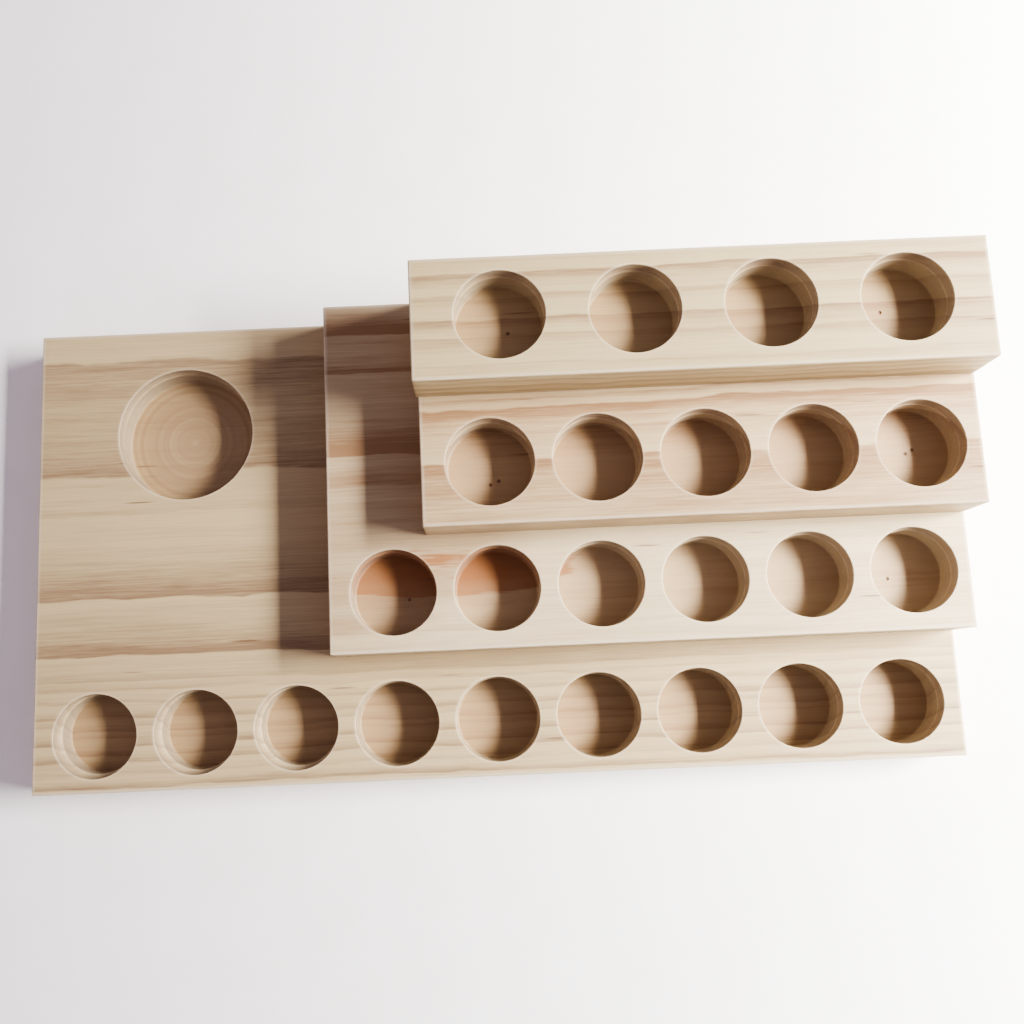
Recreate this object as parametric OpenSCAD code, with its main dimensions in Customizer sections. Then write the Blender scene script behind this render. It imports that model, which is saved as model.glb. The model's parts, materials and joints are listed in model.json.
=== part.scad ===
// Stepped paint rack: four pine boards stacked into a staircase.
// Every step carries a row of blind round pockets for paint pots, and the free
// part of the base board has one wide pocket for a water or thinner pot.
// The three upper boards are glued down and held by brad nails, which are
// driven through the thin pocket floors into the board underneath.
// Origin: centre of the underside. +X right, +Y back, +Z up. Millimetres.

/* [Boards] */
// Thickness of every board
board_t = 20; // [18:0.5:25]
// Depth of each step, front to back, base board first
step_run = [53.5, 48.5, 53.5, 49.5]; // [46:0.5:60]
// Flat planed along the long edges and ends of each board
edge_ease = 0.4; // [0.2:0.1:1]

/* [Paint pockets] */
// Diameter of a paint pot pocket
pocket_d = 36; // [30:0.5:38]
// Depth of every pocket
pocket_depth = 14; // [10:0.5:15]
// Sanded chamfer round the mouth of every pocket
rim_ease = 0.4; // [0.2:0.1:1]
// Bevel that the cutter's corner leaves round every pocket floor
floor_ease = 0.5; // [0.3:0.1:1]
// Centre spacing of the pockets in the three lower rows
pocket_pitch = 43.5; // [42:0.5:46]
// Centre spacing of the pockets in the top row
top_pitch = 53; // [50:0.5:54]
// From each board's left end to its first pocket centre, base board first
left_margin = [26.5, 27, 28, 35]; // [22:0.5:40]
// From each board's last pocket centre to its right end, base board first
right_margin = [25.5, 23.5, 24.5, 33.5]; // [22:0.5:40]
// From each board's front edge to its pocket centres, base board first
row_inset = [24, 25, 25.5, 25.5]; // [23:0.5:26]

/* [Water pot pocket] */
// Diameter of the wide pocket
water_pocket_d = 60; // [50:1:64]
// From the base board's left end to the wide pocket's centre
water_from_left = 65.5; // [50:0.5:78]
// From the base board's back edge to the wide pocket's centre
water_from_back = 48.5; // [40:0.5:60]

/* [Brad nails] */
// Length of a brad, head included
nail_len = 15; // [12:0.5:18]
// Diameter of the wire
nail_d = 1; // [0.8:0.1:1.2]
// Diameter of the head
nail_head_d = 1.5; // [1.4:0.1:2]
// Thickness of the head
nail_head_t = 0.5; // [0.3:0.1:0.8]
// How far the head is set below the pocket floor
nail_sink = 0.4; // [0.2:0.1:1]

/* [Hidden] */
// Indices of the boards in the lists above
base = 0;
second = 1;
third = 2;
top = 3;

// Number of pockets in each row
pocket_count = [9, 6, 5, 4];

// Offsets of the nails from the centre of the end pockets they sit in
second_left_nails = [[5.5, -2]];
second_right_nails = [[-5.5, -2]];
third_left_nails = [[0, -6.5], [3.5, -5]];
third_right_nails = [[-0.5, -1], [2.5, 0.5]];
top_left_nails = [[3.5, -2.5]];
top_right_nails = [[-5, -0.5]];

// Gap between a nail and its hole, all round and beyond the point
nail_gap = 0.02;
// Length of the cone at a nail's point
nail_point = 1.5;
// How far a cutting tool runs past the face it opens
cut_over = 1;

$fn = 96;

function sum_from(list, i) = i < len(list) ? list[i] + sum_from(list, i + 1) : 0;
function pitch(tier) = tier == top ? top_pitch : pocket_pitch;
function row_length(tier) = (pocket_count[tier] - 1) * pitch(tier);

// The boards are flush with each other at their right ends and back edges
function board_w(tier) = left_margin[tier] + row_length(tier) + right_margin[tier];
function board_d(tier) = sum_from(step_run, tier);
function board_left(tier) = board_w(base) / 2 - board_w(tier);
function board_front(tier) = board_d(base) / 2 - board_d(tier);
function board_bottom(tier) = tier * board_t;
function board_top(tier) = board_bottom(tier) + board_t;

function pocket_x(tier, i) = board_left(tier) + left_margin[tier] + i * pitch(tier);
function pocket_y(tier) = board_front(tier) + row_inset[tier];
function pocket_floor(tier) = board_top(tier) - pocket_depth;

// A rectangle with its four corners planed off
module eased_rectangle(w, h) {
    e = edge_ease;
    polygon([
        [e, 0], [w - e, 0], [w, e], [w, h - e],
        [w - e, h], [e, h], [0, h - e], [0, e]
    ]);
}

// A board blank with all twelve edges eased, one corner at the origin
module eased_blank(w, d, t) {
    intersection() {
        linear_extrude(t)
            eased_rectangle(w, d);
        translate([0, d, 0])
            rotate([90, 0, 0])
                linear_extrude(d)
                    eased_rectangle(w, t);
        rotate([90, 0, 90])
            linear_extrude(w)
                eased_rectangle(d, t);
    }
}

// The cut for one blind pocket, with its mouth at z = 0
module pocket_cut(d) {
    translate([0, 0, -pocket_depth])
        cylinder(h = floor_ease, d1 = d - 2 * floor_ease, d2 = d);
    translate([0, 0, floor_ease - pocket_depth])
        cylinder(h = pocket_depth - floor_ease + cut_over, d = d);
    translate([0, 0, -rim_ease])
        cylinder(h = rim_ease + cut_over, d1 = d, d2 = d + 2 * (rim_ease + cut_over));
}

module pocket_row_cut(tier) {
    for (i = [0 : pocket_count[tier] - 1])
        translate([pocket_x(tier, i), pocket_y(tier), board_top(tier)])
            pocket_cut(pocket_d);
}

module water_pocket_cut() {
    x = board_left(base) + water_from_left;
    y = board_front(base) + board_d(base) - water_from_back;
    translate([x, y, board_top(base)])
        pocket_cut(water_pocket_d);
}

// One brad, point down, with the top of its head at z = 0.
// A positive gap makes the hole that the brad sits in.
module brad(gap = 0) {
    shank_end = nail_len - nail_point;
    translate([0, 0, -nail_head_t - gap])
        cylinder(h = nail_head_t + gap, d = nail_head_d + 2 * gap);
    translate([0, 0, -shank_end])
        cylinder(h = shank_end - nail_head_t / 2, d = nail_d + 2 * gap);
    translate([0, 0, -nail_len - gap])
        cylinder(h = nail_point + gap, d1 = 0, d2 = nail_d + 2 * gap);
}

// A brad's hole, open up to the pocket floor above its head
module brad_hole() {
    brad(nail_gap);
    translate([0, 0, -nail_head_t])
        cylinder(h = nail_head_t + nail_sink + cut_over, d = nail_head_d + 2 * nail_gap);
}

// Puts its children at each nail place in one pocket of a board
module at_nails(tier, pocket, offsets) {
    for (offset = offsets)
        translate([
            pocket_x(tier, pocket) + offset[0],
            pocket_y(tier) + offset[1],
            pocket_floor(tier) - nail_sink
        ])
            children();
}

module at_second_board_nails() {
    at_nails(second, 0, second_left_nails)
        children();
    at_nails(second, pocket_count[second] - 1, second_right_nails)
        children();
}

module at_third_board_nails() {
    at_nails(third, 0, third_left_nails)
        children();
    at_nails(third, pocket_count[third] - 1, third_right_nails)
        children();
}

module at_top_board_nails() {
    at_nails(top, 0, top_left_nails)
        children();
    at_nails(top, pocket_count[top] - 1, top_right_nails)
        children();
}

module board_blank(tier) {
    translate([board_left(tier), board_front(tier), board_bottom(tier)])
        eased_blank(board_w(tier), board_d(tier), board_t);
}

module base_board() {
    color([0.80, 0.73, 0.61])
        difference() {
            board_blank(base);
            pocket_row_cut(base);
            water_pocket_cut();
            at_second_board_nails()
                brad_hole();
        }
}

module second_board() {
    color([0.88, 0.79, 0.67])
        difference() {
            board_blank(second);
            pocket_row_cut(second);
            at_second_board_nails()
                brad_hole();
            at_third_board_nails()
                brad_hole();
        }
}

module third_board() {
    color([0.86, 0.75, 0.62])
        difference() {
            board_blank(third);
            pocket_row_cut(third);
            at_third_board_nails()
                brad_hole();
            at_top_board_nails()
                brad_hole();
        }
}

module top_board() {
    color([0.89, 0.82, 0.68])
        difference() {
            board_blank(top);
            pocket_row_cut(top);
            at_top_board_nails()
                brad_hole();
        }
}

module second_board_nails() {
    color([0.36, 0.34, 0.32])
        at_second_board_nails()
            brad();
}

module third_board_nails() {
    color([0.36, 0.34, 0.32])
        at_third_board_nails()
            brad();
}

module top_board_nails() {
    color([0.36, 0.34, 0.32])
        at_top_board_nails()
            brad();
}

base_board();
second_board();
third_board();
top_board();
second_board_nails();
third_board_nails();
top_board_nails();
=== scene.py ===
"""Looks of the stepped paint rack: four sanded pine boards with routed pockets, and the brads.

Each CAD board is replaced by a finer mesh of the same board: eased arrises, planer marks,
pocket rims, the cutter's ledge and the nail holes. The brads are the CAD's own.
Shapes are worked out in millimetres and scaled to metres at the end.
"""
import json
import math

import bmesh
import bpy
from mathutils import Matrix, Vector
from mathutils.geometry import delaunay_2d_cdt
from mathutils.noise import noise


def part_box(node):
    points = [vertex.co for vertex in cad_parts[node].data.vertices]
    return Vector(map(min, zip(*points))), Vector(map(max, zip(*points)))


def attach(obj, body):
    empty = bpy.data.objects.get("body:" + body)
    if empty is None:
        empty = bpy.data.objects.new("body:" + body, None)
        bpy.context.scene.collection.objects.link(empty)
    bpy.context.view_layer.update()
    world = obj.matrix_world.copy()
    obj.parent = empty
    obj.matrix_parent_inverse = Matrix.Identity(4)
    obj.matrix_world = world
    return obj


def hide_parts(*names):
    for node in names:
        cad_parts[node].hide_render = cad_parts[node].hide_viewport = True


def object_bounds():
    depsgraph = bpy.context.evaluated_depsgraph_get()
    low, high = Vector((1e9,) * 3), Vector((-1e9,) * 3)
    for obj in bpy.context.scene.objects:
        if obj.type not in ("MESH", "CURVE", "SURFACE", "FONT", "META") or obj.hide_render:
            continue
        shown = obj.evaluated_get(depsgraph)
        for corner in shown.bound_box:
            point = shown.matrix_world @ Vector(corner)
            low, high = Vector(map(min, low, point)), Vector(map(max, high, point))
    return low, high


MM = 0.001
BOARDS = ("base", "second", "third", "top")

# Edges of the boards
EASE = 0.6          # radius of every sanded arris
EASE_WOBBLE = 0.25  # share by which that radius wanders
WOBBLE_LENGTH = 23  # distance along an edge in which it wanders
CORNER_FADE = 4     # distance from a corner over which the wandering sets in
SANDED = 1.2        # width of the sanded border along the edges of a board's faces
ARC_STEPS = 4       # steps round an arris, a rim or a corner
EDGE_STEP = 2.0     # spacing of the points along a board's edges
PLANER_STEP = 0.8   # height of one planer line on the side faces
PLANER_DEPTH = 0.05
PLANER_LENGTH = 40  # distance in which a planer line changes its depth
CHIP_DEPTH = 0.95   # deepest tear-out along the top board's lower front arris
CHIP_GAIN = 3.0     # how ragged that tear-out is
CHIP_LENGTH = 2.4
CHIP_PATCH = 30     # length of the stretches with more and fewer chips

# Pockets
RIM = 0.35          # radius of the sanded rim
HALO = 0.9          # width of the ring round the rim that is painted lighter as a highlight
HALO_HIGHLIGHT = 0.3     # how strongly that ring's painted highlight shows, from 0 to 1
# How much lighter the sanded rim is painted: partly sanding wear, partly a painted highlight.
RIM_WEAR_AND_HIGHLIGHT = 0.65
LEDGE_WEAR = 0.4
LEDGE_DROP = 5.0    # from the mouth down to where the cutter's second pass began
LEDGE_STEP = 0.15   # how far that ledge slopes
SLIP = 0.2          # how far the second pass usually ran off centre
WILD_SLIP = 0.7     # the same for the base board's first pockets
WILD_POCKETS = 3
FLOOR_FILLET = 0.6
FLOOR_BEVEL = 0.5   # the CAD's bevel between a pocket's bore and its floor
ARC_POINT_GAP = 1.2
WIDE_RATIO = 1.3    # a pocket wider than this many small ones has rings on its floor
SWIRL_PITCH = 0.75
SWIRL_DEPTH = 0.1
SWIRL_PAINTED_SHADE = 0.6    # how much the painted shade changes from ring to ring, standing in for light on the cutter's rings

# Nail holes
NAIL_POINTS = 24
NAIL_CLEARANCE = 0.03
NAIL_TIP = 1.0      # length of the cone at the bottom of a nail's hole
NAIL_REACH = 1.5    # vertices this near to a nail's axis belong to that nail


# ---------------------------------------------------------------- measuring the frame

def corners_mm(node):
    """Lowest and highest corner of a CAD node, in millimetres."""
    low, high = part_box(node)
    return low / MM, high / MM


def pockets_of(record, board):
    """Centre, radius and floor height of every pocket mount in a board's top face."""
    prefixes = [board + "_pocket"]
    if board == "base":
        prefixes.append("water_pocket")
    found = []
    for mount in record["mounts"]:
        if any(mount["name"].startswith(prefix) for prefix in prefixes):
            middle = Vector(mount["pos_m"]) / MM
            floor = middle.z - mount["dims"]["length_mm"] / 2 - FLOOR_BEVEL
            found.append({"centre": middle.xy, "r": mount["dims"]["r_mm"], "floor": floor})
    return found


def nails_of(node):
    """Axis point, hole radius and lowest z of every brad in a CAD node."""
    bottom = corners_mm(node)[0].z
    points = [vert.co / MM for vert in bpy.data.objects[node].data.vertices]
    tips = {(round(p.x, 2), round(p.y, 2)) for p in points if p.z < bottom + 0.01}
    nails = []
    for x, y in sorted(tips):
        spans = [math.hypot(p.x - x, p.y - y) for p in points]
        head = max(span for span in spans if span < NAIL_REACH)
        nails.append({"x": x, "y": y, "r": head + NAIL_CLEARANCE, "tip": bottom})
    return nails


# ---------------------------------------------------------------- mesh building

class Shell:
    """A closed mesh put together from loops of points, in millimetres."""

    def __init__(self):
        self.mesh = bmesh.new()
        # Two vertex marks: one tints sanded edges lighter and paints a highlight round pocket rims; the
        # other tints the cutter's surfaces darker, partly as painted shade.
        self.wear_and_highlight = self.mesh.verts.layers.float.new("wear_and_highlight")
        self.routed = self.mesh.verts.layers.float.new("routed")

    def loop(self, points, wear_and_highlight=0.0, routed=0.0):
        """Adds a loop of points. The first mark tints sanded edges lighter and paints a highlight round
        pocket rims; routed marks the cutter's surfaces, which are tinted darker, partly as painted
        shade.
        """
        verts = [self.mesh.verts.new(point) for point in points]
        for vert in verts:
            vert[self.wear_and_highlight] = wear_and_highlight
            vert[self.routed] = routed
        return verts

    def band(self, upper, lower):
        """Joins two loops of the same length with a smooth band of quads."""
        for i in range(len(upper)):
            j = (i + 1) % len(upper)
            face = self.mesh.faces.new((upper[i], lower[i], lower[j], upper[j]))
            face.smooth = True

    def bands(self, loops):
        for upper, lower in zip(loops, loops[1:]):
            self.band(upper, lower)

    def fill(self, outline, holes=()):
        """Covers a flat outline with triangles, leaving the round holes open."""
        verts = []
        edges = []
        ring_of = {}
        for number, ring in enumerate((outline, *holes)):
            start = len(verts)
            verts.extend(ring)
            edges.extend((start + i, start + (i + 1) % len(ring)) for i in range(len(ring)))
            ring_of.update((vert, number) for vert in ring)
        flat = [vert.co.xy for vert in verts]
        result = delaunay_2d_cdt(flat, edges, [], 1, 1e-4)
        triangles, origins = result[2], result[3]
        for triangle in triangles:
            picked = [verts[origins[index][0]] for index in triangle]
            rings = {ring_of[vert] for vert in picked}
            within_hole = len(rings) == 1 and 0 not in rings
            if not within_hole:
                self.mesh.faces.new(picked)

    def close_to_point(self, ring, point):
        tip = self.mesh.verts.new(point)
        for i in range(len(ring)):
            self.mesh.faces.new((ring[i], tip, ring[(i + 1) % len(ring)]))

    def finish(self, name):
        """Turns the shell into an object in metres."""
        bmesh.ops.remove_doubles(self.mesh, verts=self.mesh.verts, dist=0.002)
        bmesh.ops.recalc_face_normals(self.mesh, faces=self.mesh.faces)
        bmesh.ops.scale(self.mesh, vec=(MM, MM, MM), verts=self.mesh.verts)
        data = bpy.data.meshes.new(name)
        self.mesh.to_mesh(data)
        self.mesh.free()
        piece = bpy.data.objects.new(name, data)
        bpy.context.scene.collection.objects.link(piece)
        return piece


def circle(centre, radius, z, count):
    points = []
    for i in range(count):
        angle = 2 * math.pi * i / count
        points.append((centre.x + radius * math.cos(angle), centre.y + radius * math.sin(angle), z))
    return points


def quarter_arc():
    """Angles of a quarter turn, first to last, in even steps."""
    return [math.pi / 2 * i / ARC_STEPS for i in range(ARC_STEPS + 1)]


def board_outline(low, high):
    """Points round the board's core rectangle: place, outward direction, and distance to a corner."""
    x0, x1 = low.x + EASE, high.x - EASE
    y0, y1 = low.y + EASE, high.y - EASE
    corners = [Vector((x0, y0)), Vector((x1, y0)), Vector((x1, y1)), Vector((x0, y1))]
    outline = []
    for i, corner in enumerate(corners):
        for turn in quarter_arc():
            angle = turn + math.pi * (1 + i / 2)
            outward = Vector((math.cos(angle), math.sin(angle)))
            outline.append((corner, outward, 0.0))
        edge = corners[(i + 1) % 4] - corner
        count = int(edge.length / EDGE_STEP)
        for k in range(1, count):
            share = k / count
            outline.append((corner + edge * share, outward, edge.length * min(share, 1 - share)))
    return outline


def chip_size(x, seed):
    """How much wood is torn out of an arris at x, from 0 to 1."""
    chip = noise(Vector((x / CHIP_LENGTH, seed, 0)))
    patch = 0.5 + noise(Vector((x / CHIP_PATCH, seed, 5)))
    torn = chip * patch
    return min(1.0, max(0.0, CHIP_GAIN * torn))


def arris_radii(outline, seed, chips):
    """Arris radius at each outline point. Hand sanding makes it wander, except at the corners."""
    radii = []
    for place, outward, to_corner in outline:
        wander = noise(Vector((place.x / WOBBLE_LENGTH, place.y / WOBBLE_LENGTH, seed)))
        fade = min(1.0, to_corner / CORNER_FADE)
        radius = EASE * (1 + EASE_WOBBLE * wander * fade)
        faces_front = outward.y < -0.99
        if chips and faces_front:
            radius += CHIP_DEPTH * chip_size(place.x, seed) * fade
        radii.append(radius)
    return radii


def inset_outline(outline, low, high, z):
    """The outline drawn in towards the board's middle, where the sanding of its edges ends."""
    middle = (low.xy + high.xy) / 2
    half = (high.xy - low.xy) / 2
    shrink = Vector((1 - SANDED / half.x, 1 - SANDED / half.y))
    points = []
    for core, _, _ in outline:
        from_middle = core - middle
        points.append((middle.x + from_middle.x * shrink.x, middle.y + from_middle.y * shrink.y, z))
    return points


def planer_mark(core, row, seed):
    """Depth of one planer line at a place, as a share of the full depth."""
    even = abs(noise(Vector((0.2, row * 1.7, seed))))
    uneven = abs(noise(Vector((core.x / PLANER_LENGTH, row, core.y / PLANER_LENGTH))))
    return even + 0.4 * uneven


def board_sides(shell, low, high, seed, chips):
    """Arrises and side faces of a board. Returns the loops that bound its top and underside."""
    outline = board_outline(low, high)
    above = arris_radii(outline, seed, False)
    below = arris_radii(outline, seed + 7, chips)

    def ring(radii, turn, z_face, inward):
        points = []
        for (core, outward, _), radius in zip(outline, radii):
            place = core + outward * (EASE - radius * (1 - math.sin(turn)))
            points.append((place.x, place.y, z_face + inward * radius * (1 - math.cos(turn))))
        return points

    def arris(radii, z_face, inward):
        loops = [shell.loop(inset_outline(outline, low, high, z_face))]
        loops.extend(shell.loop(ring(radii, turn, z_face, inward), wear_and_highlight=1.0) for turn in quarter_arc())
        return loops

    top_arris = arris(above, high.z, -1)
    bottom_arris = arris(below, low.z, 1)
    rows = int((high.z - low.z) / PLANER_STEP)
    sides = [top_arris[-1]]
    for row in range(1, rows):
        share = row / rows
        points = []
        for (core, outward, _), up, down in zip(outline, above, below):
            z = (high.z - up) * (1 - share) + (low.z + down) * share
            place = core + outward * (EASE - PLANER_DEPTH * planer_mark(core, row, seed))
            points.append((place.x, place.y, z))
        sides.append(shell.loop(points))
    sides.append(bottom_arris[-1])
    shell.bands(top_arris)
    shell.bands(sides)
    shell.bands(bottom_arris)
    return top_arris[0], bottom_arris[0]


def swirled_floor(shell, ring, centre, radius, z):
    """Router marks: shallow concentric rings down to a small centre point, each ring painted a little
    lighter or darker as shade.
    """
    count = len(ring)
    turns = int(radius / SWIRL_PITCH)
    loops = [ring]
    for turn in range(1, turns):
        share = 1 - turn / turns
        dip = SWIRL_DEPTH * (0.5 + 0.5 * noise(Vector((turn * 0.9, 3, 1))))
        # Each ring's routed mark varies, so its painted shade is lighter or darker.
        tone = 1.0 + SWIRL_PAINTED_SHADE * noise(Vector((turn * 0.45, 7, 2)))
        loops.append(shell.loop(circle(centre, radius * share, z - dip, count), routed=tone))
    shell.bands(loops)
    shell.close_to_point(loops[-1], (centre.x, centre.y, z - SWIRL_DEPTH))


def pocket(shell, centre, radius, top, floor, slip, nails, swirl):
    """One routed pocket, cut in two passes. slip is how far the second pass ran off centre.
    Returns the loop that the board's top face leaves open."""
    count = int(2 * math.pi * radius / ARC_POINT_GAP)

    def ring(span, z, **marks):
        return shell.loop(circle(centre, span, z, count), **marks)

    # The ring round the mouth and the rim's round-over are painted lighter: a painted highlight, on the
    # rim partly sanding wear.
    mouth = ring(radius + RIM + HALO, top)
    loops = [mouth, ring(radius + RIM + HALO / 2, top, wear_and_highlight=HALO_HIGHLIGHT)]
    for turn in quarter_arc():
        span = radius + RIM * (1 - math.sin(turn))
        loops.append(ring(span, top - RIM * (1 - math.cos(turn)), wear_and_highlight=RIM_WEAR_AND_HIGHLIGHT))
    # From here down, the pocket's walls and floor take the routed mark, which paints them darker, partly
    # as shade.
    loops.append(ring(radius, top - RIM - HALO / 2, routed=1.0))
    loops.append(ring(radius, top - LEDGE_DROP, routed=1.0))
    radius -= slip.length
    centre = centre + slip
    loops.append(ring(radius, top - LEDGE_DROP - LEDGE_STEP, wear_and_highlight=LEDGE_WEAR))
    loops.append(ring(radius, top - LEDGE_DROP - HALO, routed=1.0))
    for turn in quarter_arc():
        span = radius - FLOOR_FILLET * (1 - math.cos(turn))
        loops.append(ring(span, floor + FLOOR_FILLET * (1 - math.sin(turn)), routed=1.0))
    shell.bands(loops)
    if swirl:
        swirled_floor(shell, loops[-1], centre, radius - FLOOR_FILLET, floor)
    else:
        shell.fill(loops[-1], [nail["ring"] for nail in nails])
    return mouth


def nail_ring(shell, nail, z):
    centre = Vector((nail["x"], nail["y"]))
    # The hole's wall takes the routed mark, which paints it darker as shade in the hole.
    return shell.loop(circle(centre, nail["r"], z, NAIL_POINTS), routed=1.0)


def near(nail, hole):
    return math.hypot(nail["x"] - hole["centre"].x, nail["y"] - hole["centre"].y) < hole["r"]


def second_pass_slip(board, index):
    """How far the cutter's second pass ran off a pocket's centre."""
    if board == "base" and index < WILD_POCKETS:
        return Vector((WILD_SLIP, WILD_SLIP))
    return Vector((-SLIP * 0.5, -SLIP))


def through_holes(shell, nails, floor, underside):
    """Holes of a board's own nails, from a pocket's floor to the underside. Returns their lower ends."""
    ends = []
    for nail in nails:
        nail["ring"] = nail_ring(shell, nail, floor)
        ends.append(nail_ring(shell, nail, underside))
        shell.band(nail["ring"], ends[-1])
    return ends


def blind_holes(shell, nails, top):
    """Holes of the nails that come from the board above. Returns their mouths."""
    mouths = []
    for nail in nails:
        mouths.append(nail_ring(shell, nail, top))
        foot = nail_ring(shell, nail, nail["tip"] + NAIL_TIP)
        shell.band(mouths[-1], foot)
        shell.close_to_point(foot, (nail["x"], nail["y"], nail["tip"] - NAIL_CLEARANCE))
    return mouths


def build_board(board, pockets, own_nails, under_nails, seed):
    """A board's mesh. own_nails go through its pocket floors; under_nails end inside it."""
    low, high = corners_mm(board + "_board")
    floor = pockets[0]["floor"]
    shell = Shell()
    top_ring, bottom_ring = board_sides(shell, low, high, seed, chips=board == "top")
    below = through_holes(shell, own_nails, floor, low.z)
    above = blind_holes(shell, under_nails, high.z)
    for index, hole in enumerate(pockets):
        inside = [nail for nail in own_nails if near(nail, hole)]
        slip = second_pass_slip(board, index)
        wide = hole["r"] > WIDE_RATIO * pockets[0]["r"]
        above.append(pocket(shell, hole["centre"], hole["r"], high.z, floor, slip, inside, wide))
    shell.fill(top_ring, above)
    shell.fill(bottom_ring, below)
    return shell.finish(board + "_board_wood")


# ---------------------------------------------------------------- materials

def linear(red, green, blue):
    """Linear colour from the 0 to 255 numbers of a screen colour."""
    parts = [channel / 255 for channel in (red, green, blue)]
    return tuple(p / 12.92 if p <= 0.04045 else ((p + 0.055) / 1.055) ** 2.4 for p in parts) + (1.0,)


class Nodes:
    """Short calls for building a material's node tree."""

    def __init__(self, name):
        self.material = bpy.data.materials.new(name)
        self.material.use_nodes = True
        self.tree = self.material.node_tree
        self.tree.nodes.clear()

    def set_input(self, socket, value):
        if isinstance(value, bpy.types.NodeSocket):
            self.tree.links.new(value, socket)
        else:
            socket.default_value = value

    def add(self, kind, inputs=None, **settings):
        node = self.tree.nodes.new(kind)
        for key, value in settings.items():
            setattr(node, key, value)
        for key, value in (inputs or {}).items():
            self.set_input(node.inputs[key], value)
        return node

    def math(self, operation, a, b=0.0, clamp=False):
        return self.add("ShaderNodeMath", {0: a, 1: b}, operation=operation, use_clamp=clamp).outputs[0]

    def vector_math(self, operation, a, b=(0, 0, 0)):
        return self.add("ShaderNodeVectorMath", {0: a, 1: b}, operation=operation).outputs[0]

    def length(self, vector):
        return self.add("ShaderNodeVectorMath", {0: vector}, operation="LENGTH").outputs["Value"]

    def axis(self, vector, index):
        return self.add("ShaderNodeSeparateXYZ", {0: vector}).outputs[index]

    def noise(self, vector, detail=2.0, roughness=0.5):
        """Noise from -1 to 1, one cell to one unit of the vector."""
        inputs = {"Vector": vector, "Scale": 1.0, "Detail": detail, "Roughness": roughness}
        value = self.add("ShaderNodeTexNoise", inputs).outputs["Fac"]
        return self.math("MULTIPLY", self.math("SUBTRACT", value, 0.5), 2.0)

    def scaled_sum(self, *terms):
        """Sum of (value, weight) pairs."""
        total = 0.0
        for value, weight in terms:
            total = self.math("ADD", total, self.math("MULTIPLY", value, weight))
        return total

    def step(self, value, start, end, low=0.0, high=1.0, smooth=True):
        """Goes from low to high while value goes from start to end."""
        inputs = {"Value": value, "From Min": start, "From Max": end, "To Min": low, "To Max": high}
        kind = "SMOOTHSTEP" if smooth else "LINEAR"
        return self.add("ShaderNodeMapRange", inputs, interpolation_type=kind).outputs[0]

    def mix(self, factor, a, b):
        node = self.add("ShaderNodeMix", data_type="RGBA")
        self.set_input(node.inputs[0], factor)
        self.set_input(node.inputs[6], a)
        self.set_input(node.inputs[7], b)
        return node.outputs[2]

    def surface(self, colour, roughness, height, depth, others=None):
        """Ends the tree in a surface whose relief is depth metres high. others are further inputs."""
        bump = self.add("ShaderNodeBump", {"Height": height, "Strength": 1.0, "Distance": depth})
        inputs = {"Base Color": colour, "Roughness": roughness, "Normal": bump.outputs[0]}
        inputs.update(others or {})
        shader = self.add("ShaderNodeBsdfPrincipled", inputs)
        output = self.add("ShaderNodeOutputMaterial")
        self.tree.links.new(shader.outputs[0], output.inputs[0])
        return self.material


# Growth rings of each plank. The heart is the centre line of the tree, in millimetres back
# from the plank's front edge and up from its underside. A ring darkens from its first radius
# to its second, where it stops sharply; the third number is how dark it gets.
# Resin is a lens-shaped pocket of soaked wood, and a stain is a larger patch that is a little
# browner than the rest: each is given by its centre and half sizes in the plank.
PLANKS = {
    "base": {
        "heart": (165, -40),
        "wander": 1.2,
        "pale": (194, 175, 138),
        "dark": (146, 122, 94),
        "rings": [
            (46, 65.2, 0.68), (66, 74, 0.2), (76, 101.6, 0.95), (100, 122.7, 0.95),
            (124, 132.4, 0.3), (132, 136, 0.3), (137, 140.9, 0.4), (142, 146.8, 0.5),
            (147, 149.6, 0.3), (151, 156.5, 0.65), (158, 162.9, 0.55), (164, 168, 0.25),
            (169, 173.2, 0.65), (173.6, 180, 0.3),
        ],
    },
    "second": {
        "heart": (206.5, -30),
        "wander": 1.6,
        "pale": (208, 192, 159),
        "dark": (159, 127, 94),
        "rings": [
            (70, 84.4, 0.8), (88, 98.6, 0.5), (112, 132.3, 0.95), (134, 144.9, 0.35),
            (175, 190, 0.1), (195, 204, 0.15), (205, 211, 0.1),
        ],
        "resin": ((49, 36.5, 10.5), (65, 15, 10)),
        "stain": ((-10, 80, 20), (101, 76.5, 60)),
    },
    "third": {
        "heart": (-1, -40),
        "wander": 2.2,
        "pale": (202, 181, 145),
        "dark": (159, 126, 92),
        "rings": [
            (50, 65.4, 0.9), (67, 72, 0.2), (66, 77.5, 1.0), (78.5, 80.5, 0.5),
            (82, 92, 0.5), (93, 110, 0.5),
        ],
    },
    "top": {
        "heart": (-109, -40),
        "wander": 1.0,
        "pale": (201, 183, 143),
        "dark": (158, 132, 101),
        "rings": [
            (114.5, 117.2, 0.5), (117.6, 119.4, 0.55), (119.8, 121.6, 0.5), (122, 123.6, 0.45),
            (124, 128.8, 0.25), (132, 138.7, 0.45), (137, 145.3, 0.85), (149, 154.2, 0.45),
            (155, 163, 0.95), (164, 172, 0.5),
        ],
    },
}

# Noise drawn out along the board: millimetres along and across it, and octaves of detail
STREAK_GRAIN = (38, 0.9, 3.0)
FINE_GRAIN = (11, 0.4, 2.0)
PORE_GRAIN = (14, 0.35, 3.0)
PATCH_GRAIN = (160, 7, 2.0)
RAGGED_GRAIN = (20, 4, 2.0)

# How the rings wander, in millimetres: how far along and across the board, and by how much.
# The first of these is scaled for each plank.
SLOW_WANDER = (90, 60, 1.3)
QUICK_WANDERS = ((22, 12, 1.1), (14, 1.6, 0.3))

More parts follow.
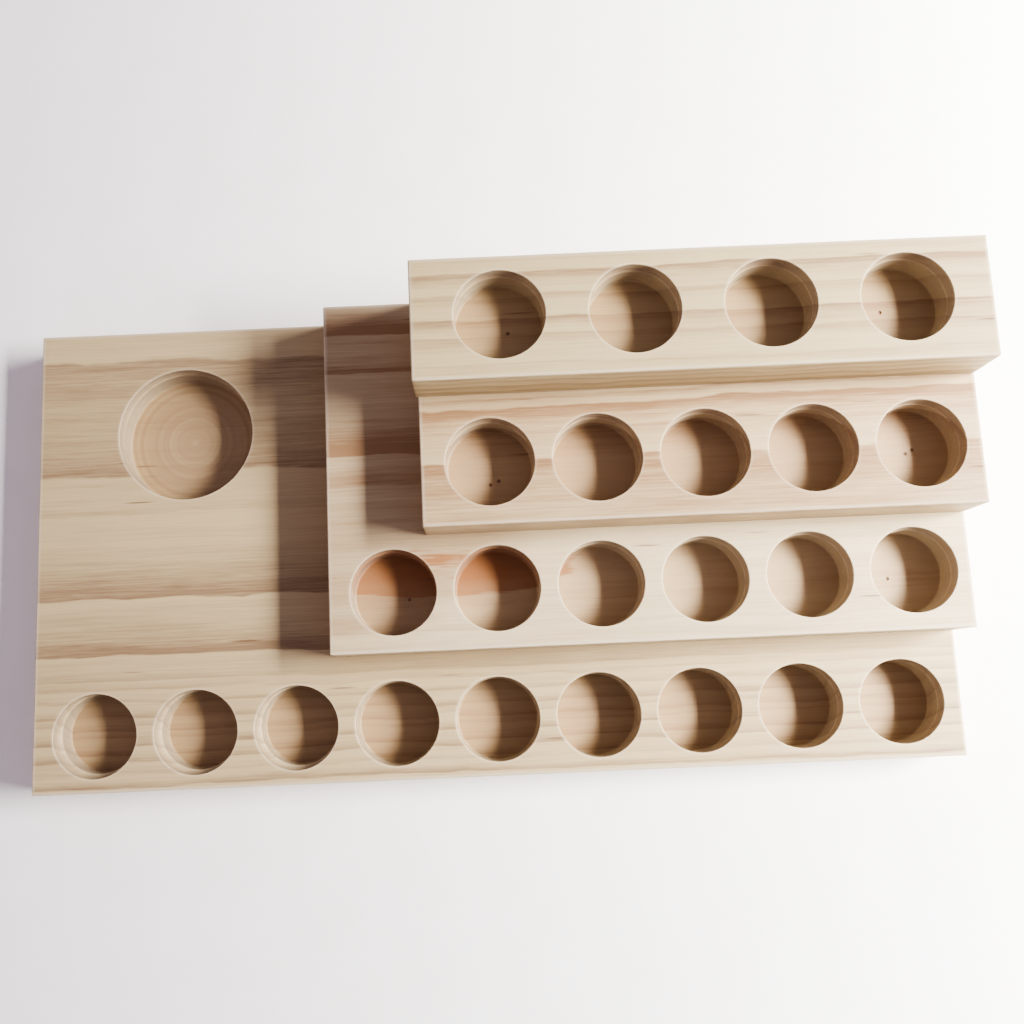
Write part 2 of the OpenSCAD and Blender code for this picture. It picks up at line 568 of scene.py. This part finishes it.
RING_CURVE = 2.2        # above 1, a ring's darkness grows mostly in its last part
LATE_EDGE = 0.7         # millimetres over which a ring's dark wood stops
BASE_TONE = 0.08
STAIN_DARKNESS = 0.38
STAIN_EDGE = (0.85, 1.1)  # where a patch fades out, as shares of its half sizes
RESIN_EDGE = (0.95, 1.02)
RESIN_CORE = (0.5, 0.85)
RESIN_END_GAP = 5.0     # the resin stops this short of the plank's left end
CANAL_CELL = (46, 2.6, 2.6)  # room for one short resin canal along, across and up the board
CANAL_ODDS = 0.12       # share of those places that have one
CANAL_EDGE = (0.08, 0.2)  # where a canal fades out, as shares of its room
CANAL_DARKNESS = 0.6
PORE_RELIEF = 0.06 * MM
WOOD_ROUGHNESS = 0.58

RESIN_COLOUR = (158, 98, 48)
CANAL_COLOUR = (96, 63, 38)
END_GRAIN_COLOUR = (134, 108, 82)
# Darker, browner tints of routed floors and walls: partly the cut wood, partly painted shade in the
# pockets and nail holes.
CUT_AND_SHADED_FLOOR_COLOUR = (151, 118, 89)
CUT_AND_SHADED_WALL_COLOUR = (160, 150, 138)
# Lighter tint of sanded edges; round the pocket rims it is a painted highlight.
WEAR_AND_HIGHLIGHT_COLOUR = (220, 210, 190)
END_GRAIN_SHARE = 0.2
# How far routed surfaces go towards that cut-wood colour and painted shade.
CUT_AND_SHADE_SHARE = 0.5
# How far sanded edges go towards that lighter tint, which round pocket rims is a painted highlight.
WEAR_AND_HIGHLIGHT_SHARE = 0.4


class Pine(Nodes):
    """Sanded pine, sawn from a tree whose rings run through the board in three dimensions."""

    def __init__(self, name, corner, plank):
        super().__init__(name)
        self.plank = plank
        coords = self.add("ShaderNodeTexCoord").outputs
        in_mm = self.vector_math("MULTIPLY", coords["Object"], (1 / MM,) * 3)
        self.place = self.vector_math("SUBTRACT", in_mm, tuple(corner))
        self.normal = coords["Normal"]
        self.streaks = self.grain(*STREAK_GRAIN)
        self.fine = self.grain(*FINE_GRAIN)

    def grain(self, along, across, detail=2.0):
        """Noise drawn out along the board."""
        return self.noise(self.vector_math("DIVIDE", self.place, (along, across, across)), detail)

    def radius(self):
        """Distance from the heart of the tree, wandering as a grown ring does."""
        heart_y, heart_z = self.plank["heart"]
        back = self.math("SUBTRACT", self.axis(self.place, 1), heart_y)
        up = self.math("SUBTRACT", self.axis(self.place, 2), heart_z)
        squares = self.math("ADD", self.math("MULTIPLY", back, back), self.math("MULTIPLY", up, up))
        along, across, amount = SLOW_WANDER
        terms = [
            (self.math("SQRT", squares), 1.0),
            (self.grain(along, across), amount * self.plank["wander"]),
        ]
        for along, across, amount in QUICK_WANDERS:
            terms.append((self.grain(along, across), amount))
        return self.scaled_sum(*terms)

    def late_wood(self):
        """How much dark late wood there is."""
        radius = self.radius()
        late = 0.0
        for inner, outer, darkness in self.plank["rings"]:
            rise = self.math("POWER", self.step(radius, inner, outer, smooth=False), RING_CURVE)
            fall = self.step(radius, outer, outer + LATE_EDGE, darkness, 0.0)
            late = self.math("ADD", self.math("MULTIPLY", rise, fall), late)
        lines = self.scaled_sum((self.streaks, 0.5), (self.fine, 0.4))
        return self.math("MULTIPLY", late, self.math("ADD", lines, 1.0))

    def depth_in(self, patch):
        """0 at a patch's centre and 1 at its ragged edge."""
        centre, half_sizes = patch
        offset = self.vector_math("DIVIDE", self.vector_math("SUBTRACT", self.place, centre), half_sizes)
        ragged = self.grain(*RAGGED_GRAIN)
        return self.scaled_sum((self.length(offset), 1.0), (ragged, 0.12), (self.streaks, 0.1))

    def stain(self):
        return self.step(self.depth_in(self.plank["stain"]), *STAIN_EDGE, STAIN_DARKNESS, 0.0)

    def resin(self):
        """How deep in the resin pocket a point is, with a step at its edge."""
        depth = self.depth_in(self.plank["resin"])
        edge = self.step(depth, *RESIN_EDGE, 0.75, 0.0)
        core = self.step(depth, *RESIN_CORE, 0.25, 0.0)
        inside = self.step(self.axis(self.place, 0), 1.0, RESIN_END_GAP)
        return self.math("MULTIPLY", self.math("ADD", edge, core), inside)

    def canals(self):
        """Short dark resin canals, few and far between."""
        space = self.vector_math("DIVIDE", self.place, CANAL_CELL)
        cells = self.add("ShaderNodeTexVoronoi", {"Vector": space, "Scale": 1.0}).outputs
        lot = self.add("ShaderNodeSeparateColor", {0: cells["Color"]}).outputs[0]
        chosen = self.math("GREATER_THAN", lot, 1 - CANAL_ODDS)
        shape = self.step(cells["Distance"], *CANAL_EDGE, CANAL_DARKNESS, 0.0)
        return self.math("MULTIPLY", chosen, shape)

    def facing(self, index):
        """How squarely a surface faces along one axis, either way."""
        return self.math("ABSOLUTE", self.axis(self.normal, index))

    def end_grain(self):
        """How squarely a surface cuts across the grain."""
        return self.math("POWER", self.facing(0), 3.0)

    def mark(self, name):
        """A vertex mark of the mesh."""
        return self.add("ShaderNodeAttribute", attribute_name=name).outputs["Fac"]

    def tinted(self, colour, amount, share, tint):
        """A colour drawn towards a tint by share, where amount is 1."""
        return self.mix(self.math("MULTIPLY", amount, share), colour, tint)

    def tone(self, late):
        """From 0 for the palest wood to 1 for the darkest."""
        patches = self.grain(*PATCH_GRAIN)
        tone = self.scaled_sum((late, 1.0), (patches, 0.3), (self.streaks, 0.3), (self.fine, 0.14))
        if "stain" in self.plank:
            tone = self.math("ADD", tone, self.stain())
        return self.math("ADD", tone, BASE_TONE, clamp=True)

    def build(self):
        late = self.late_wood()
        colour = self.mix(self.tone(late), linear(*self.plank["pale"]), linear(*self.plank["dark"]))
        if "resin" in self.plank:
            colour = self.mix(self.resin(), colour, linear(*RESIN_COLOUR))
        colour = self.mix(self.canals(), colour, linear(*CANAL_COLOUR))
        colour = self.tinted(colour, self.end_grain(), END_GRAIN_SHARE, linear(*END_GRAIN_COLOUR))
        # Routed surfaces are tinted darker and browner, floors more than walls: partly the cut wood,
        # partly painted shade in the pockets and nail holes.
        routed = self.mix(self.facing(2), linear(*CUT_AND_SHADED_WALL_COLOUR), linear(*CUT_AND_SHADED_FLOOR_COLOUR))
        colour = self.tinted(colour, self.mark("routed"), CUT_AND_SHADE_SHARE, routed)
        # Sanded edges are tinted lighter; round the pocket rims this is a painted highlight.
        colour = self.tinted(colour, self.mark("wear_and_highlight"), WEAR_AND_HIGHLIGHT_SHARE, linear(*WEAR_AND_HIGHLIGHT_COLOUR))
        pores = self.grain(*PORE_GRAIN)
        height = self.scaled_sum((pores, 0.6), (late, 0.8))
        roughness = self.math("ADD", WOOD_ROUGHNESS, self.math("MULTIPLY", self.streaks, 0.08))
        return self.surface(colour, roughness, height, PORE_RELIEF)


STEEL_SPECKLE = 0.2 * MM
STEEL_RELIEF = 0.03 * MM
STEEL_METALLIC = 0.3
STEEL_ROUGHNESS = 0.5


def dull_steel(name):
    """Cut-off brad steel, darkened, with a fine speckle in its colour and relief."""
    nodes = Nodes(name)
    place = nodes.add("ShaderNodeTexCoord").outputs["Object"]
    speckle = nodes.noise(nodes.vector_math("DIVIDE", place, (STEEL_SPECKLE,) * 3), 3.0)
    shade = nodes.math("ADD", 0.5, speckle, clamp=True)
    colour = nodes.mix(shade, linear(120, 92, 70), linear(152, 124, 100))
    roughness = nodes.math("ADD", STEEL_ROUGHNESS, nodes.math("MULTIPLY", speckle, 0.15))
    return nodes.surface(colour, roughness, speckle, STEEL_RELIEF, {"Metallic": STEEL_METALLIC})


# ---------------------------------------------------------------- stage

# Places, aims and sizes of the lights, in metres from the rack's lowest corner
WINDOW_PLACE = Vector((2.2, 0.165, 1.15))
WINDOW_AIM = Vector((0.2, 0.129, 0.03))
WINDOW_SIZE = (1.3, 0.85)
WINDOW_ENERGY = 216
WINDOW_COLOUR = (1.0, 0.98, 0.94)
WINDOW_STEEPNESS = 0.55  # sine of the angle at which the window's rays have their full strength
WINDOW_LOW_FADE = 6.5    # how fast they get weaker below that angle
WALL_PLACE = Vector((-0.55, 0.1, 0.35))
WALL_AIM = Vector((0.15, 0.1, 0.03))
WALL_SIZE = (0.7, 0.5)
WALL_ENERGY = 0.9
WALL_COLOUR = (1.0, 0.72, 0.56)
ROOM_STRENGTH = 0.32
ROOM_COLOUR = (0.95, 0.86, 1.08, 1)
BACKDROP = (0.9, 0.9, 0.89, 1)

FLOOR_HALF_SIZE = 4.0
FLOOR_FADE = (0.7, 1.8)  # distances over which the floor turns into the backdrop
FLOOR_GAP = 0.1 * MM     # keeps the floor's face off the rack's underside
FLOOR_RELIEF = 0.01 * MM
FLOOR_MOTTLES = 40       # in one metre

# A phone held over the front pockets, tipped towards the back. The place is in millimetres
# from the middle of the rack's width, its front edge and its underside; angles are in degrees.
CAMERA_PLACE = (-2.65, 37.9, 412.35)
CAMERA_TILT = 8.0
CAMERA_ROLL = -2.52
CAMERA_LENS = 31.58
CAMERA_SENSOR = 36
CAMERA_SHIFT = (0.0274, 0.0473)


def floor_material():
    """A pale surface that runs into the backdrop without a horizon."""
    nodes = Nodes("pale_floor")
    place = nodes.add("ShaderNodeTexCoord").outputs["Object"]
    mottle = nodes.noise(nodes.vector_math("MULTIPLY", place, (FLOOR_MOTTLES,) * 3))
    shade = nodes.math("ADD", 0.5, mottle, clamp=True)
    colour = nodes.mix(shade, linear(246, 245, 243), linear(250, 249, 248))
    far = nodes.step(nodes.length(place), *FLOOR_FADE)
    colour = nodes.mix(far, colour, (0, 0, 0, 1))
    glow = {"Emission Color": BACKDROP, "Emission Strength": far}
    return nodes.surface(colour, 0.9, mottle, FLOOR_RELIEF, glow)


def plain_floor():
    mesh = bmesh.new()
    bmesh.ops.create_grid(mesh, x_segments=2, y_segments=2, size=FLOOR_HALF_SIZE)
    data = bpy.data.meshes.new("floor")
    mesh.to_mesh(data)
    mesh.free()
    floor = bpy.data.objects.new("floor", data)
    floor.location.z = -FLOOR_GAP
    floor.data.materials.append(floor_material())
    bpy.context.scene.collection.objects.link(floor)


def area_light(name, place, target, size, energy, colour):
    light = bpy.data.lights.new(name, "AREA")
    light.shape = "RECTANGLE"
    light.size, light.size_y = size
    light.energy = energy
    light.color = colour
    lamp = bpy.data.objects.new(name, light)
    lamp.location = place
    lamp.rotation_euler = (target - place).to_track_quat("-Z", "Y").to_euler()
    bpy.context.scene.collection.objects.link(lamp)
    return light


def weaken_low_rays(light):
    """Makes the window's rays weaker the flatter they leave it."""
    light.use_nodes = True
    tree = light.node_tree
    ray = tree.nodes.new("ShaderNodeNewGeometry")
    axes = tree.nodes.new("ShaderNodeSeparateXYZ")
    steepness = tree.nodes.new("ShaderNodeMath")
    steepness.operation = "DIVIDE"
    steepness.inputs[1].default_value = -WINDOW_STEEPNESS
    strength = tree.nodes.new("ShaderNodeMath")
    strength.operation = "POWER"
    strength.inputs[1].default_value = WINDOW_LOW_FADE
    tree.links.new(ray.outputs["Incoming"], axes.inputs[0])
    tree.links.new(axes.outputs[2], steepness.inputs[0])
    tree.links.new(steepness.outputs[0], strength.inputs[0])
    tree.links.new(strength.outputs[0], tree.nodes["Emission"].inputs["Strength"])


def studio_lights(low):
    """A wide soft window to the right, and a weak warm wall to the left that fills the shadows."""
    window = area_light(
        "window", low + WINDOW_PLACE, low + WINDOW_AIM, WINDOW_SIZE, WINDOW_ENERGY, WINDOW_COLOUR)
    weaken_low_rays(window)
    area_light("wall", low + WALL_PLACE, low + WALL_AIM, WALL_SIZE, WALL_ENERGY, WALL_COLOUR)


def room_light():
    """A faint even fill from all round. The camera sees a pale backdrop in its place."""
    world = bpy.data.worlds.new("room")
    world.use_nodes = True
    tree = world.node_tree
    fill = tree.nodes["Background"]
    fill.inputs["Color"].default_value = ROOM_COLOUR
    fill.inputs["Strength"].default_value = ROOM_STRENGTH
    backdrop = tree.nodes.new("ShaderNodeBackground")
    backdrop.inputs["Color"].default_value = BACKDROP
    ray = tree.nodes.new("ShaderNodeLightPath")
    mix = tree.nodes.new("ShaderNodeMixShader")
    tree.links.new(ray.outputs["Is Camera Ray"], mix.inputs[0])
    tree.links.new(fill.outputs[0], mix.inputs[1])
    tree.links.new(backdrop.outputs[0], mix.inputs[2])
    tree.links.new(mix.outputs[0], tree.nodes["World Output"].inputs["Surface"])
    bpy.context.scene.world = world


def phone_camera(low, high):
    camera = bpy.data.cameras.new("camera")
    camera.sensor_width = CAMERA_SENSOR
    camera.lens = CAMERA_LENS
    camera.shift_x, camera.shift_y = CAMERA_SHIFT
    holder = bpy.data.objects.new("camera", camera)
    x, y, z = (offset * MM for offset in CAMERA_PLACE)
    holder.location = ((low.x + high.x) / 2 + x, low.y + y, low.z + z)
    tilt = Matrix.Rotation(math.radians(CAMERA_TILT), 4, "X")
    roll = Matrix.Rotation(math.radians(CAMERA_ROLL), 4, "Z")
    holder.rotation_euler = (tilt @ roll).to_euler()
    bpy.context.scene.collection.objects.link(holder)
    bpy.context.scene.camera = holder


# ---------------------------------------------------------------- the rack

def build_rack(frame):
    nails = {board: nails_of(board + "_board_nails") for board in BOARDS[1:]}
    boards_above = BOARDS[1:] + (None,)
    for number, (board, above) in enumerate(zip(BOARDS, boards_above)):
        pockets = pockets_of(frame["record"], board)
        own_nails = nails.get(board, [])
        piece = build_board(board, pockets, own_nails, nails.get(above, []), seed=number + 1)
        corner = corners_mm(board + "_board")[0]
        piece.data.materials.append(Pine(board + "_pine", corner, PLANKS[board]).build())
        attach(piece, "root")
        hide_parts(board + "_board")
    steel = dull_steel("brad_steel")
    for board in BOARDS[1:]:
        nail_mesh = frame["nodes"][board + "_board_nails"].data
        nail_mesh.materials.clear()
        nail_mesh.materials.append(steel)


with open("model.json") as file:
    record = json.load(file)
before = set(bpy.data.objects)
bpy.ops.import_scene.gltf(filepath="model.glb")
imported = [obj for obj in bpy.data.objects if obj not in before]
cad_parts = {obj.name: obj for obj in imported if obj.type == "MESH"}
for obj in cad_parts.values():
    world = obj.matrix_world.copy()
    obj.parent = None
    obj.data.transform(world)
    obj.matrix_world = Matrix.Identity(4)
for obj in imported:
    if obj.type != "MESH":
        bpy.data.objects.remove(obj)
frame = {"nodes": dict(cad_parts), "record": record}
cad_low, cad_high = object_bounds()
build_rack(frame)
plain_floor()
studio_lights(cad_low)
room_light()
phone_camera(cad_low, cad_high)
bpy.context.scene.view_settings.view_transform = "AgX"
bpy.context.scene.view_settings.look = "AgX - High Contrast"
